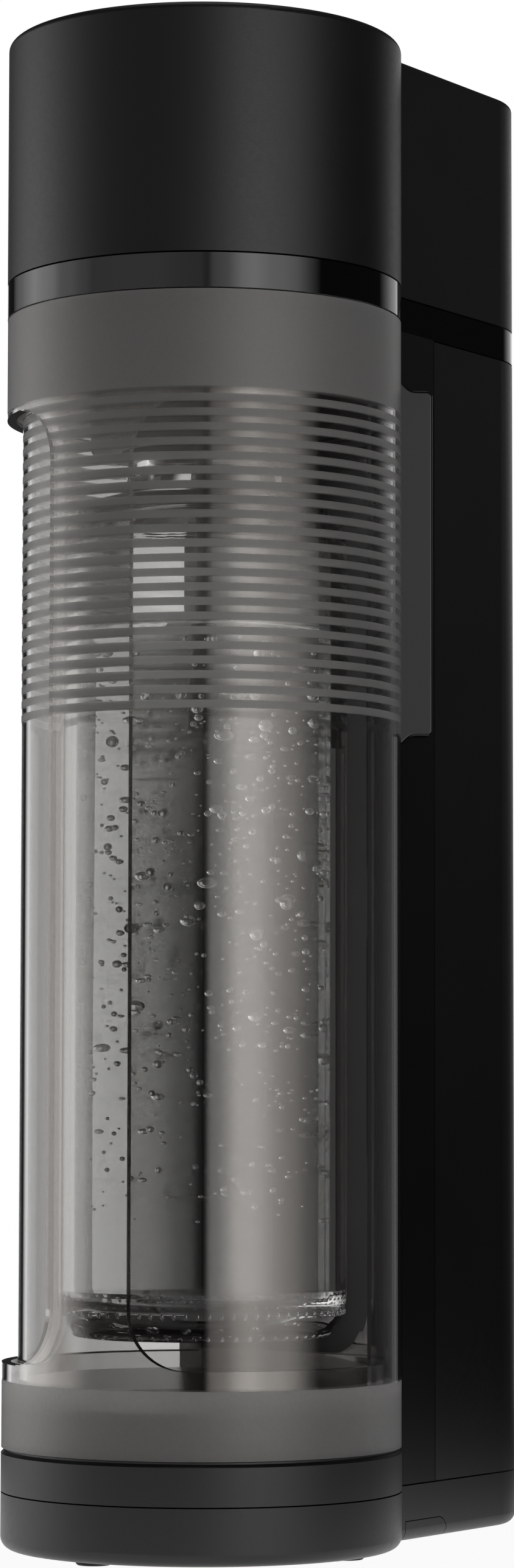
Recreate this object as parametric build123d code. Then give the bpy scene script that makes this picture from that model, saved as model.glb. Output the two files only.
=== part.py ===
from build123d import *
from math import acos, asin, cos, degrees, radians, sin, sqrt
import os

os.makedirs("parts", exist_ok=True)

# Driving sizes of the outside, in millimetres.
# The chamber axis is the working centre; places along the length are measured from it.
BODY_R = 56.5
TOWER_HALF_W = 40.5
TOWER_CORNER_R = 25.0
WALL = 2.5

# Named clearances.
RUN_GAP = 0.3
PANEL_GAP = 0.3
SCREW_GAP = 0.1
FREE_GAP = 0.4
SEAM_GAP = 0.4

# Heights above the table, and the rims over and under the tall windows.
FOOT_H = 1.4
SEAM_Z = 17.4
DECK_H = 11.5
TOP_Z = 429.5
HEAD_H = 69.8
BAND_H = 9.6
BAND_JOINT = 0.5
LOW_RIM = 24.6
HIGH_RIM = 29.1
PAN_TOP = SEAM_Z - SEAM_GAP / 2
UPPER_START = SEAM_Z + SEAM_GAP / 2
DECK_TOP = SEAM_Z + DECK_H
HEAD_BOTTOM = TOP_Z - HEAD_H
BAND_TOP = HEAD_BOTTOM - BAND_JOINT
BAND_BOTTOM = BAND_TOP - BAND_H
WINDOW_LOW = DECK_TOP + LOW_RIM
WINDOW_HIGH = BAND_BOTTOM - HIGH_RIM

# Nested rounds of the chamber: recess, door, guard, tray.
DOOR_SET = 0.1
DOOR_WALL = 2.6
GLIDE_ROOM = 1.9
GUARD_WALL = 2.4
TRAY_GAP = 0.7
RECESS_GAP = 0.8
RECESS_WALL = 2.2
DOOR_R = BODY_R - DOOR_SET
GUARD_R = DOOR_R - DOOR_WALL - GLIDE_ROOM
TRAY_R = GUARD_R - GUARD_WALL - TRAY_GAP
RECESS_R = DOOR_R + RECESS_GAP

# Places along the length, from the chamber to the rear of the tower.
SPINE_SET = 9.3
SPINE_LAND = 0.6
GAS_R = 30.0
GAS_FRONT_ROOM = 1.0
GAS_REAR_ROOM = 0.7
COVER_WALL = 2.3
SPINE_FRONT = BODY_R - SPINE_SET
SPINE_BACK = RECESS_R + RECESS_WALL + SPINE_LAND
GAS_Y = SPINE_BACK + GAS_FRONT_ROOM + GAS_R
TOWER_BACK = GAS_Y + GAS_R + GAS_REAR_ROOM + COVER_WALL

# Whole object is shifted so that the middle of its length sits over the origin.
SHIFT_Y = -(TOWER_BACK - BODY_R) / 2


def disc(radius, low, high, x=0.0, y=0.0):
    # Upright round solid between two heights.
    return Pos(x, y, (low + high) / 2) * Cylinder(radius, high - low)


def tube(outer, inner, low, high, x=0.0, y=0.0):
    # Upright round tube between two heights.
    return disc(outer, low, high, x, y) - disc(inner, low - 1, high + 1, x, y)


def block(x0, x1, y0, y1, z0, z1):
    # Box from its six limits.
    place = Pos((x0 + x1) / 2, (y0 + y1) / 2, (z0 + z1) / 2)
    return place * Box(x1 - x0, y1 - y0, z1 - z0)


def crossbar(radius, length, y, z):
    # Round bar that lies across the object.
    return Pos(0, y, z) * Rot(0, 90, 0) * Cylinder(radius, length)


def lengthways(radius, length, y, z):
    # Round bar that lies along the object.
    return Pos(0, y, z) * Rot(90, 0, 0) * Cylinder(radius, length)


def ring_spots(radius, angles):
    # Places on a circle round the chamber axis.
    return [(radius * cos(radians(a)), radius * sin(radians(a))) for a in angles]


def pair(x, y):
    # One place and its left-right twin.
    return [(x, y), (-x, y)]


def tower_plan(inset, front):
    # Rounded-back box of the tower, in plan.
    back = TOWER_BACK - inset
    plan = Pos(0, (front + back) / 2) * Rectangle(2 * (TOWER_HALF_W - inset), back - front)
    rear = [v for v in plan.vertices() if v.Y > (front + back) / 2]
    return fillet(rear, TOWER_CORNER_R - inset)


def keyhole(inset):
    # Circle of the chamber joined to the tower box, in plan.
    return Circle(BODY_R - inset) + tower_plan(inset, 0.0)


def prism(plan, low, high):
    # Straight upright solid from a plan.
    return extrude(Pos(0, 0, low) * plan, high - low)


def sector(inner, outer, low, high, start, span):
    # Ring piece over part of a turn.
    cut = Plane.XZ * Pos((inner + outer) / 2, (low + high) / 2) * Rectangle(outer - inner, high - low)
    return Rot(0, 0, start) * revolve(cut, Axis.Z, span)


def window_tube(outer, wall, low, high, start, span):
    # Tube whose wall covers one span, with a tall round-cornered window in the rest.
    inner = outer - wall
    shape = tube(outer, inner, low, high)
    end = start + span
    shape = shape - sector(inner - wall, outer + wall, WINDOW_LOW, WINDOW_HIGH, end, 360 - span)
    ring = tube(outer, inner, WINDOW_LOW - 1, WINDOW_HIGH + 1)
    for angle, side in ((end, 1), (start, -1)):
        for level, up in ((WINDOW_LOW, 1), (WINDOW_HIGH, -1)):
            square = Pos(side * WINDOW_R / 2, level + up * WINDOW_R / 2) * Rectangle(WINDOW_R, WINDOW_R)
            plan = square - Pos(side * WINDOW_R, level + up * WINDOW_R) * Circle(WINDOW_R)
            shape = shape + (Rot(0, 0, angle) * extrude(Plane.YZ * plan, outer + wall) & ring)
    return shape


def mirrored(shape):
    # Shape together with its left-right twin.
    return [shape, mirror(shape, Plane.YZ)]


def save(shape, node):
    export_step(Pos(0, SHIFT_Y, 0) * shape, "parts/" + node + ".step")


# Base pan: the lower shell that everything stands on.
PAN_FLOOR = 2.6
PAN_EDGE_R = 3.5
POST_R = 4.6
SCREW_R = 1.5
SCREW_HEAD_R = 2.9
SCREW_HEAD_H = 2.4
SCREW_SEAT = 5.4
DECK_POST_SET = 16.0
SPINE_POST_SET = 8.5
SPINE_POST_ROOM = 7.0
REAR_POST_SET = 18.5
REAR_POST_ROOM = 16.0
FOOT_R = 5.0
FOOT_SET = 12.0
FOOT_SINK = 0.8
FOOT_EDGE = 0.5
REAR_FOOT_SET = 16.5
REAR_FOOT_ROOM = 28.0
INSERT_LEAD = 3.2
INSERT_L = 22.5
INSERT_H = 5.6
INSERT_DEPTH = 1.2
INSERT_GAP = 0.25
INSERT_CORNER = 4.5
COUNTERBORE_TOP = SEAM_Z - SCREW_SEAT
DECK_POSTS = ring_spots(BODY_R - DECK_POST_SET, (-37, 26, 154, 217))
SPINE_POSTS = pair(TOWER_HALF_W - SPINE_POST_SET, SPINE_BACK + SPINE_POST_ROOM)
SPINE_POSTS = SPINE_POSTS + pair(TOWER_HALF_W - REAR_POST_SET, TOWER_BACK - REAR_POST_ROOM)
FOOT_SPOTS = ring_spots(BODY_R - FOOT_SET, (-97, 9, 171))
FOOT_SPOTS = FOOT_SPOTS + pair(TOWER_HALF_W - REAR_FOOT_SET, TOWER_BACK - REAR_FOOT_ROOM)
INSERT_FRONT = SPINE_FRONT - INSERT_LEAD
INSERT_BACK = INSERT_FRONT + INSERT_L
INSERT_TOP = FOOT_H + INSERT_H

pan_body = prism(keyhole(0), FOOT_H, PAN_TOP)
pan_under = [e for e in pan_body.faces().sort_by(Axis.Z)[0].edges()]
pan_body = fillet(pan_under, PAN_EDGE_R)
base_pan = pan_body - prism(keyhole(WALL), FOOT_H + PAN_FLOOR, PAN_TOP + 1)


def insert_plan(grow):
    # Side outline of the small flush panel, with its rear upper corner rounded.
    mid = Pos((INSERT_FRONT + INSERT_BACK) / 2, INSERT_TOP / 2)
    plan = mid * Rectangle(INSERT_BACK - INSERT_FRONT + 2 * grow, INSERT_TOP + 2 * grow)
    corner = plan.vertices().sort_by(lambda v: v.X + v.Y)[-1]
    return fillet(corner, INSERT_CORNER + grow)


def insert_block(grow):
    # The same outline given a thickness at the right-hand side wall.
    shape = extrude(Plane.YZ * insert_plan(grow), 2 * INSERT_DEPTH)
    return Pos(TOWER_HALF_W - INSERT_DEPTH, 0, 0) * shape


pocket = insert_block(INSERT_GAP)
grip_right = pan_body & insert_block(0)
base_pan = base_pan - pocket - mirror(pocket, Plane.YZ)
for px, py in DECK_POSTS + SPINE_POSTS:
    base_pan = base_pan + disc(POST_R, FOOT_H + PAN_FLOOR / 2, UPPER_START, px, py)
for px, py in DECK_POSTS + SPINE_POSTS:
    base_pan = base_pan - disc(SCREW_HEAD_R + FREE_GAP, FOOT_H - 1, COUNTERBORE_TOP, px, py)
    base_pan = base_pan - disc(SCREW_R + SCREW_GAP, COUNTERBORE_TOP - 1, UPPER_START + 1, px, py)
for px, py in FOOT_SPOTS:
    base_pan = base_pan - disc(FOOT_R + SCREW_GAP, FOOT_H - 1, FOOT_H + FOOT_SINK, px, py)
save(base_pan, "base_pan")
save(Compound(mirrored(grip_right)), "base_side_panels")

# Rubber feet, pressed into shallow round seats under the pan.
feet = []
for px, py in FOOT_SPOTS:
    foot = disc(FOOT_R, 0, FOOT_H + FOOT_SINK, px, py)
    feet.append(chamfer(foot.faces().sort_by(Axis.Z)[0].edges(), FOOT_EDGE))
save(Compound(feet), "rubber_feet")

# Base screws: pan to deck and pan to spine, heads up inside the counterbores.
SCREW_END = 4.4
SPINE_FLOOR_T = 4.0
SCREW_TIP = DECK_TOP - SCREW_END
SPINE_FLOOR_TOP = UPPER_START + SPINE_FLOOR_T
base_screws = []
for px, py in DECK_POSTS:
    head = disc(SCREW_HEAD_R, COUNTERBORE_TOP - SCREW_HEAD_H, COUNTERBORE_TOP, px, py)
    base_screws.append(head + disc(SCREW_R, COUNTERBORE_TOP, SCREW_TIP, px, py))
for px, py in SPINE_POSTS:
    head = disc(SCREW_HEAD_R, COUNTERBORE_TOP - SCREW_HEAD_H, COUNTERBORE_TOP, px, py)
    base_screws.append(head + disc(SCREW_R, COUNTERBORE_TOP, SPINE_FLOOR_TOP, px, py))
save(Compound(base_screws), "base_screws")

# Deck: the round upper part of the base that carries guard, door and tray.
DECK_PLATE = 3.4
DECK_EDGE = 0.8
deck = disc(BODY_R, UPPER_START, DECK_TOP)
deck = chamfer(deck.faces().sort_by(Axis.Z)[-1].edges(), DECK_EDGE)
deck = deck - disc(BODY_R - WALL, UPPER_START - 1, DECK_TOP - DECK_PLATE)
for px, py in DECK_POSTS:
    deck = deck + disc(POST_R, UPPER_START, DECK_TOP - DECK_PLATE / 2, px, py)
for px, py in DECK_POSTS:
    deck = deck - disc(SCREW_R + SCREW_GAP, UPPER_START - 1, SCREW_TIP + FREE_GAP, px, py)
save(deck, "base_deck")

# Inner guard: fixed clear tube with a tall window, wall on the left half.
GUARD_START = 115.0
WALL_SPAN = 166.5
WINDOW_R = 16.0
save(window_tube(GUARD_R, GUARD_WALL, DECK_TOP, BAND_BOTTOM, GUARD_START, WALL_SPAN), "inner_guard")

# Door: clear outer sleeve that turns round the guard, with its pull bar.
DOOR_START = -105.0
DOOR_LIFT = 0.8
DOOR_DROP = 0.4
DOOR_LOW = DECK_TOP + DOOR_LIFT
DOOR_HIGH = BAND_BOTTOM - DOOR_DROP
save(window_tube(DOOR_R, DOOR_WALL, DOOR_LOW, DOOR_HIGH, DOOR_START, WALL_SPAN), "door_sleeve")

HANDLE_SPINE_GAP = 0.7
HANDLE_REACH = 9.5
HANDLE_HALF_W = 3.5
HANDLE_H = 100.0
HANDLE_DROP = 18.6
HANDLE_FLARE = 3.0
HANDLE_TIP_ROUND = 1.8
HANDLE_ROOT_ROUND = 3.5
HANDLE_EDGE = 0.9
HANDLE_TIP_R = DOOR_R + HANDLE_REACH
spine_turn = acos(TOWER_HALF_W / RECESS_R)
HANDLE_ANGLE = degrees(spine_turn - asin((HANDLE_HALF_W + HANDLE_SPINE_GAP) / RECESS_R))
HANDLE_HIGH = BAND_BOTTOM - HANDLE_DROP
HANDLE_LOW = HANDLE_HIGH - HANDLE_H
root = DOOR_R - DOOR_WALL / 2
neck = DOOR_R + HANDLE_FLARE
profile = Polyline(
    (root, HANDLE_LOW - HANDLE_FLARE),
    (DOOR_R, HANDLE_LOW - HANDLE_FLARE),
    (neck, HANDLE_LOW),
    (HANDLE_TIP_R, HANDLE_LOW),
    (HANDLE_TIP_R, HANDLE_HIGH),
    (neck, HANDLE_HIGH),
    (DOOR_R, HANDLE_HIGH + HANDLE_FLARE),
    (root, HANDLE_HIGH + HANDLE_FLARE),
    close=True,
)
bar_plan = make_face(profile)
low_tip = bar_plan.vertices().sort_by(lambda v: v.X - v.Y)[-1]
high_tip = bar_plan.vertices().sort_by(lambda v: v.X + v.Y)[-1]
bar_plan = fillet([low_tip, high_tip], HANDLE_TIP_ROUND)
bends = [v for v in bar_plan.vertices() if abs(v.X - neck) < 0.01]
bar_plan = fillet(bends, HANDLE_ROOT_ROUND)
bar = extrude(Plane.XZ * bar_plan, HANDLE_HALF_W, both=True)
bar_long = [e for e in bar.edges() if e.center().X > neck + 1 and abs(e.center().Y) > HANDLE_HALF_W - 0.1]
bar = fillet(bar_long, HANDLE_EDGE)
handle = Rot(0, 0, HANDLE_ANGLE) * bar - disc(DOOR_R, DOOR_LOW, DOOR_HIGH)
save(handle, "door_handle")

# Glide rings between guard and door, at the bottom and at the top.
GLIDE_LOW_H = 5.0
GLIDE_HIGH_H = 6.0
GLIDE_EDGE = 1.2
GLIDE_R = DOOR_R - DOOR_WALL - RUN_GAP
low_glide = tube(GLIDE_R, GUARD_R, DECK_TOP, DECK_TOP + GLIDE_LOW_H)
low_glide = low_glide + tube(DOOR_R - GLIDE_EDGE, GUARD_R, DECK_TOP, DOOR_LOW - RUN_GAP)
save(low_glide, "lower_glide_ring")
save(tube(GLIDE_R, GUARD_R, BAND_BOTTOM - GLIDE_HIGH_H, BAND_BOTTOM), "upper_glide_ring")

# Spine: fixed front frame of the tower, hollowed to clear the turning door.
SPINE_SIDE = 2.5
FLOOR_SIDE_GAP = 3.5
FLOOR_REAR_GAP = 6.0
FLOOR_CORNER = 4.0
spine_outer = block(-TOWER_HALF_W, TOWER_HALF_W, SPINE_FRONT, SPINE_BACK, UPPER_START, BAND_BOTTOM)
inside = TOWER_HALF_W - SPINE_SIDE
closing_strip = block(inside, TOWER_HALF_W, 0, SPINE_BACK, UPPER_START, BAND_BOTTOM)
spine = spine_outer + closing_strip - disc(RECESS_R, 0, TOP_Z)
scoop = block(-inside, inside, SPINE_FRONT + SPINE_SIDE, SPINE_BACK + 1, UPPER_START - 1, TOP_Z)
spine = spine - (scoop - disc(RECESS_R + RECESS_WALL, 0, TOP_Z))
floor_half = TOWER_HALF_W - FLOOR_SIDE_GAP
floor_back = TOWER_BACK - FLOOR_REAR_GAP
floor_plan = Pos(0, (SPINE_FRONT + floor_back) / 2) * Rectangle(2 * floor_half, floor_back - SPINE_FRONT)
floor_rear = [v for v in floor_plan.vertices() if v.Y > SPINE_BACK]
floor_plan = fillet(floor_rear, TOWER_CORNER_R - FLOOR_CORNER)
spine_floor = prism(floor_plan, UPPER_START, SPINE_FLOOR_TOP) - disc(RECESS_R + RECESS_WALL / 2, 0, TOP_Z)
spine = spine + spine_floor
for px, py in SPINE_POSTS:
    spine = spine - disc(SCREW_R + SCREW_GAP, UPPER_START - 1, SPINE_FLOOR_TOP + 1, px, py)

SLOT_W = 3.2
SLOT_ANGLE = 66.0
SLOT_CUT = 12.0
SLOT_LIFT = 80.6
SLOT_GAP = 18.5
SLOT_LOW_L = 66.0
SLOT_HIGH_L = 76.0
slot_start = DECK_TOP + SLOT_LIFT
slot_next = slot_start + SLOT_LOW_L + SLOT_GAP
for low, length in ((slot_start, SLOT_LOW_L), (slot_next, SLOT_HIGH_L)):
    slot_plan = Pos(0, low + length / 2) * SlotOverall(length, SLOT_W, rotation=90)
    slot = extrude(Plane.YZ * slot_plan, SLOT_CUT, both=True)
    for angle in (SLOT_ANGLE, 180 - SLOT_ANGLE):
        spine = spine - Rot(0, 0, angle) * Pos(RECESS_R, 0, 0) * slot

# Magnet seats on the spine and matching strikes on the cover.
CATCH_W = 6.4
CATCH_HALF_H = 6.0
CATCH_LIFT = 44.4
CATCH_DROP = 41.6
CATCH_SINK = 0.5
MAGNET_R = 2.6
MAGNET_T = 3.0
MAGNET_SET = 0.05
CATCH_IN = inside - CATCH_W
CATCH_LEVELS = (UPPER_START + CATCH_LIFT, BAND_BOTTOM - CATCH_DROP)
magnet_x = (CATCH_IN + inside) / 2
magnets = []
for level in CATCH_LEVELS:
    seat = block(CATCH_IN, inside + CATCH_SINK, SPINE_FRONT + SPINE_SIDE / 2, SPINE_BACK,
                 level - CATCH_HALF_H, level + CATCH_HALF_H)
    for half in mirrored(seat - disc(RECESS_R, 0, TOP_Z)):
        spine = spine + half
for level in CATCH_LEVELS:
    place = Pos(magnet_x, SPINE_BACK - MAGNET_T / 2, level) * Rot(90, 0, 0)
    for half in mirrored(place * Cylinder(MAGNET_R + MAGNET_SET, MAGNET_T)):
        spine = spine - half
    for half in mirrored(place * Cylinder(MAGNET_R, MAGNET_T)):
        magnets.append(half)
save(spine, "tower_spine")
save(Compound(magnets), "cover_magnets")

# Rear cover: thin shell that pulls off backwards to reach the gas cylinder.
COVER_DROP = 0.4
STRIKE_T = 1.0
STRIKE_EDGE = 1.0
STRIKE_GAP = 0.2
PAD_T = 5.0
COVER_FRONT = SPINE_BACK + PANEL_GAP
cover_plan = tower_plan(0, COVER_FRONT) - tower_plan(COVER_WALL, COVER_FRONT - 1)
cover = prism(cover_plan, UPPER_START, BAND_BOTTOM - COVER_DROP)
cover_in = TOWER_HALF_W - COVER_WALL
strike_back = COVER_FRONT + STRIKE_T
strike_half = CATCH_HALF_H - STRIKE_EDGE
strikes = []
for level in CATCH_LEVELS:
    pad = block(CATCH_IN, cover_in + CATCH_SINK, strike_back, strike_back + PAD_T, level - CATCH_HALF_H,
                level + CATCH_HALF_H)
    plate = block(CATCH_IN, cover_in - STRIKE_GAP, COVER_FRONT, strike_back, level - strike_half,
                  level + strike_half)
    for half in mirrored(pad):
        cover = cover + half
    for half in mirrored(plate):
        strikes.append(half)
save(cover, "rear_cover")
save(Compound(strikes), "cover_strikes")

# Chassis: plate inside the head that carries the working parts.
CHASSIS_T = 4.0
BAND_WALL = 2.8
SPIGOT_R = 15.0
NECK_HOLE_GAP = 2.5
HEAD_POST_SET = 11.2
HEAD_REAR_SET = 14.5
HEAD_REAR_ROOM = 14.0
GAS_NECK_R = 13.0
CHASSIS_TOP = BAND_BOTTOM + CHASSIS_T
HEAD_POSTS = ring_spots(BODY_R - HEAD_POST_SET, (-43, 223))
HEAD_POSTS = HEAD_POSTS + pair(TOWER_HALF_W - HEAD_REAR_SET, TOWER_BACK - HEAD_REAR_ROOM)
chassis = prism(keyhole(BAND_WALL), BAND_BOTTOM, CHASSIS_TOP)
chassis = chassis - disc(SPIGOT_R + SCREW_GAP, BAND_BOTTOM - 1, CHASSIS_TOP + 1)
chassis = chassis - disc(GAS_NECK_R + NECK_HOLE_GAP, BAND_BOTTOM - 1, CHASSIS_TOP + 1, 0, GAS_Y)
for px, py in HEAD_POSTS:
    chassis = chassis - disc(SCREW_R + SCREW_GAP, BAND_BOTTOM - 1, CHASSIS_TOP + 1, px, py)
    chassis = chassis - disc(SCREW_HEAD_R + FREE_GAP, BAND_BOTTOM - 1, BAND_BOTTOM + SCREW_HEAD_H, px, py)
save(chassis, "head_chassis")

# Gas cylinder and its valve, screwed up into the seat in the head.
GAS_CLEAR = 22.4
GAS_DISH = 4.0
GAS_FOOT_W = 14.0
GAS_HEEL_R = 5.0
GAS_SHOULDER_H = 28.0
GAS_SHOULDER_R = 18.0
GAS_ROOT_R = 6.0
GAS_NECK_H = 10.0
GAS_NECK_DROP = 3.6
GAS_WALL = 3.2
GAS_MOUTH_R = 6.0
GAS_THICK = 6.0
GAS_LOW = SPINE_FLOOR_TOP + GAS_CLEAR
GAS_NECK_HIGH = CHASSIS_TOP - GAS_NECK_DROP
GAS_NECK_LOW = GAS_NECK_HIGH - GAS_NECK_H
GAS_SHOULDER = GAS_NECK_LOW - GAS_SHOULDER_H
gas_outline = Polyline(
    (0, GAS_LOW + GAS_DISH),
    (GAS_R - GAS_FOOT_W, GAS_LOW),
    (GAS_R, GAS_LOW),
    (GAS_R, GAS_SHOULDER),
    (GAS_NECK_R, GAS_NECK_LOW),
    (GAS_NECK_R, GAS_NECK_HIGH),
    (0, GAS_NECK_HIGH),
    close=True,
)
gas_face = make_face(gas_outline)
heel = [v for v in gas_face.vertices() if v.X > GAS_R - 0.1 and v.Y < GAS_LOW + 1]
gas_face = fillet(heel, GAS_HEEL_R)
shoulder = [v for v in gas_face.vertices() if v.X > GAS_R - 0.1 and v.Y > GAS_SHOULDER - 1]
gas_face = fillet(shoulder, GAS_SHOULDER_R)
gas_root = [v for v in gas_face.vertices() if v.X > 1 and abs(v.Y - GAS_NECK_LOW) < 0.01]
gas_face = fillet(gas_root, GAS_ROOT_R)
hollow_low = GAS_LOW + GAS_DISH + GAS_WALL
hollow_outline = Polyline(
    (0, hollow_low),
    (GAS_R - GAS_WALL, hollow_low),
    (GAS_R - GAS_WALL, GAS_SHOULDER - GAS_WALL),
    (GAS_MOUTH_R, GAS_NECK_LOW - GAS_THICK),
    (GAS_MOUTH_R, GAS_NECK_HIGH),
    (0, GAS_NECK_HIGH),
    close=True,
)
hollow_face = make_face(hollow_outline)
gas_cylinder = revolve(Plane.XZ * gas_face, Axis.Z) - revolve(Plane.XZ * hollow_face, Axis.Z)
gas_cylinder = Pos(0, GAS_Y, 0) * gas_cylinder
save(gas_cylinder, "gas_cylinder")

VALVE_R = 10.5
VALVE_FOOT_H = 6.4
VALVE_FOOT_SET = 0.5
VALVE_H = 23.6
THREAD_START = 5.0
THREAD_PITCH = 4.0
THREAD_W = 1.6
THREAD_DEEP = 1.1
PIN_R = 1.8
PIN_DEEP = 10.0
PIN_ROOM = 5.0
VALVE_FLAT = GAS_NECK_HIGH + VALVE_FOOT_H
VALVE_TOP = VALVE_FLAT + VALVE_H
PIN_LOW = VALVE_TOP - PIN_DEEP
valve = disc(GAS_NECK_R - VALVE_FOOT_SET, GAS_NECK_HIGH, VALVE_FLAT, 0, GAS_Y)
valve = valve + disc(VALVE_R, VALVE_FLAT, VALVE_TOP, 0, GAS_Y)
thread_turns = int((VALVE_H - THREAD_START - THREAD_PITCH) // THREAD_PITCH) + 1
for turn in range(thread_turns):
    groove = VALVE_FLAT + THREAD_START + THREAD_PITCH * turn
    valve = valve - tube(VALVE_R + 1, VALVE_R - THREAD_DEEP, groove, groove + THREAD_W, 0, GAS_Y)
valve = valve - disc(PIN_R + RUN_GAP, PIN_LOW - PIN_ROOM, VALVE_TOP + 1, 0, GAS_Y)
save(valve, "cylinder_valve")

# Cradle: rubber wedge that steadies the gas cylinder against the spine.
CRADLE_H = 22.0
CRADLE_LIFT = 72.4
CRADLE_HALF_W = 20.0
CRADLE_DEEP = 10.0
CRADLE_GAP = 0.5
cradle_low = UPPER_START + CRADLE_LIFT
cradle = block(-CRADLE_HALF_W, CRADLE_HALF_W, SPINE_FRONT + SPINE_SIDE, SPINE_BACK + CRADLE_DEEP,
               cradle_low, cradle_low + CRADLE_H)
cradle = cradle - disc(RECESS_R + RECESS_WALL, 0, TOP_Z) - disc(GAS_R + CRADLE_GAP, 0, TOP_Z, 0, GAS_Y)
save(cradle, "cylinder_cradle")

# Gloss band: narrow trim round the whole plan, with a lip on the chassis.
BAND_LIP = 2.4
BAND_LIP_T = 1.8
BAND_LIP_SET = 0.5
band = prism(keyhole(0) - keyhole(BAND_WALL), BAND_BOTTOM, BAND_TOP)
lip_plan = keyhole(BAND_LIP_SET) - keyhole(BAND_WALL + BAND_LIP)
band = band + prism(lip_plan, CHASSIS_TOP, CHASSIS_TOP + BAND_LIP_T)
save(band, "gloss_band")

# Head housing: the tall cap over chamber and tower, with a hole for the button.
HEAD_WALL = 2.6
BUTTON_R = 30.0
BUTTON_GAP = 0.5
HEAD_EDGE_R = 2.0
SCREW_LENGTH = 14.0
head_body = prism(keyhole(0), HEAD_BOTTOM, TOP_Z)
head_body = fillet(head_body.faces().sort_by(Axis.Z)[-1].edges(), HEAD_EDGE_R)
head_roof = TOP_Z - HEAD_WALL
head = head_body - prism(keyhole(HEAD_WALL), HEAD_BOTTOM - 1, head_roof)
for px, py in HEAD_POSTS:
    head = head + disc(POST_R, CHASSIS_TOP, head_roof + HEAD_WALL / 4, px, py)
for px, py in HEAD_POSTS:
    head = head - disc(SCREW_R + SCREW_GAP, CHASSIS_TOP - 1, CHASSIS_TOP + SCREW_LENGTH + 1, px, py)
head = head - disc(BUTTON_R + BUTTON_GAP, head_roof - 1, TOP_Z + 1)
save(head, "head_housing")

head_screws = []
for px, py in HEAD_POSTS:
    cap = disc(SCREW_HEAD_R, BAND_BOTTOM, BAND_BOTTOM + SCREW_HEAD_H, px, py)
    head_screws.append(cap + disc(SCREW_R, BAND_BOTTOM + SCREW_HEAD_H, CHASSIS_TOP + SCREW_LENGTH, px, py))
save(Compound(head_screws), "head_screws")

# Valve seat: brass cup that the gas cylinder screws into.
SEAT_R = 17.0
SEAT_FLANGE_R = 20.0
SEAT_FLANGE_T = 3.6
SEAT_ROOF = 3.9
SEAT_NECK_GAP = 0.6
GASKET_T = 1.8
PIPE_LIFT = 18.4
PIPE_R = 2.4
PIPE_BORE = 1.2
SEAT_BORE = VALVE_R + FREE_GAP
SEAT_STEP = CHASSIS_TOP + SEAT_FLANGE_T
GASKET_LOW = VALVE_TOP + RUN_GAP
GASKET_TOP = GASKET_LOW + GASKET_T
SEAT_TOP = GASKET_TOP + SEAT_ROOF
PIPE_Z = CHASSIS_TOP + PIPE_LIFT
seat = disc(SEAT_FLANGE_R, CHASSIS_TOP, SEAT_STEP, 0, GAS_Y) + disc(SEAT_R, SEAT_STEP, SEAT_TOP, 0, GAS_Y)
seat = seat - disc(GAS_NECK_R + SEAT_NECK_GAP, CHASSIS_TOP - 1, SEAT_STEP, 0, GAS_Y)
seat = seat - disc(SEAT_BORE, SEAT_STEP - 1, GASKET_TOP, 0, GAS_Y)
seat = seat - disc(PIN_R + RUN_GAP, GASKET_LOW, SEAT_TOP + 1, 0, GAS_Y)
seat = seat - lengthways(PIPE_BORE, SEAT_R, GAS_Y - SEAT_R, PIPE_Z)
save(seat, "valve_seat")
save(tube(SEAT_BORE - SCREW_GAP, PIN_R + RUN_GAP, GASKET_LOW, GASKET_TOP, 0, GAS_Y), "valve_gasket")

# Valve pin: pressed down by the lever to let gas through.
PIN_STROKE_ROOM = 2.2
PIN_HEAD_T = 1.4
PIN_HEAD_R = 2.7
PIN_HEAD_LOW = SEAT_TOP + PIN_STROKE_ROOM
PIN_HEAD_TOP = PIN_HEAD_LOW + PIN_HEAD_T
pin = disc(PIN_R, PIN_LOW, PIN_HEAD_LOW, 0, GAS_Y)
pin = pin + disc(PIN_HEAD_R, PIN_HEAD_LOW, PIN_HEAD_TOP, 0, GAS_Y)
save(pin, "valve_pin")

# Relief valve on the side of the seat, with its hexagon cap.
RELIEF_R = 4.2
RELIEF_OUT = 8.0
RELIEF_HEX_R = 5.4
RELIEF_CAP_L = 7.0
relief = block(0, SEAT_R + RELIEF_OUT, -RELIEF_R, RELIEF_R, -RELIEF_R, RELIEF_R)
relief = Pos(0, GAS_Y, PIPE_Z) * relief & crossbar(RELIEF_R, 4 * SEAT_R, GAS_Y, PIPE_Z)
relief = relief - disc(SEAT_R, CHASSIS_TOP, SEAT_TOP, 0, GAS_Y)
save(relief, "relief_valve")
hexagon = RegularPolygon(RELIEF_HEX_R, 6)
relief_cap = Pos(SEAT_R + RELIEF_OUT, GAS_Y, PIPE_Z) * Rot(0, 90, 0) * extrude(hexagon, RELIEF_CAP_L)
save(relief_cap, "relief_cap")

# Nozzle holder over the bottle neck, its seal, tube and tip.
HOLDER_R = 11.0
HOLDER_RISE = 6.0
HOLDER_FLANGE_R = 23.0
HOLDER_FLANGE_T = 3.0
SPIGOT_DROP = 8.6
TUBE_R = 2.5
TUBE_BORE = 0.9
TUBE_RISE = 2.4
TUBE_L = 114.0
TUBE_SET = 0.05
NECK_R = 22.0
SEAL_T = 3.0
SEAL_SET = 1.5
SEAL_LIP = 7.0
HOLDER_TOP = PIPE_Z + HOLDER_RISE
SPIGOT_LOW = BAND_BOTTOM - SPIGOT_DROP
FLANGE_TOP = CHASSIS_TOP + HOLDER_FLANGE_T
TUBE_HIGH = CHASSIS_TOP + TUBE_RISE
TUBE_LOW = TUBE_HIGH - TUBE_L
SEAL_LOW = SPIGOT_LOW - SEAL_T
holder = disc(SPIGOT_R, SPIGOT_LOW, CHASSIS_TOP) + disc(HOLDER_FLANGE_R, CHASSIS_TOP, FLANGE_TOP)
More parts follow.
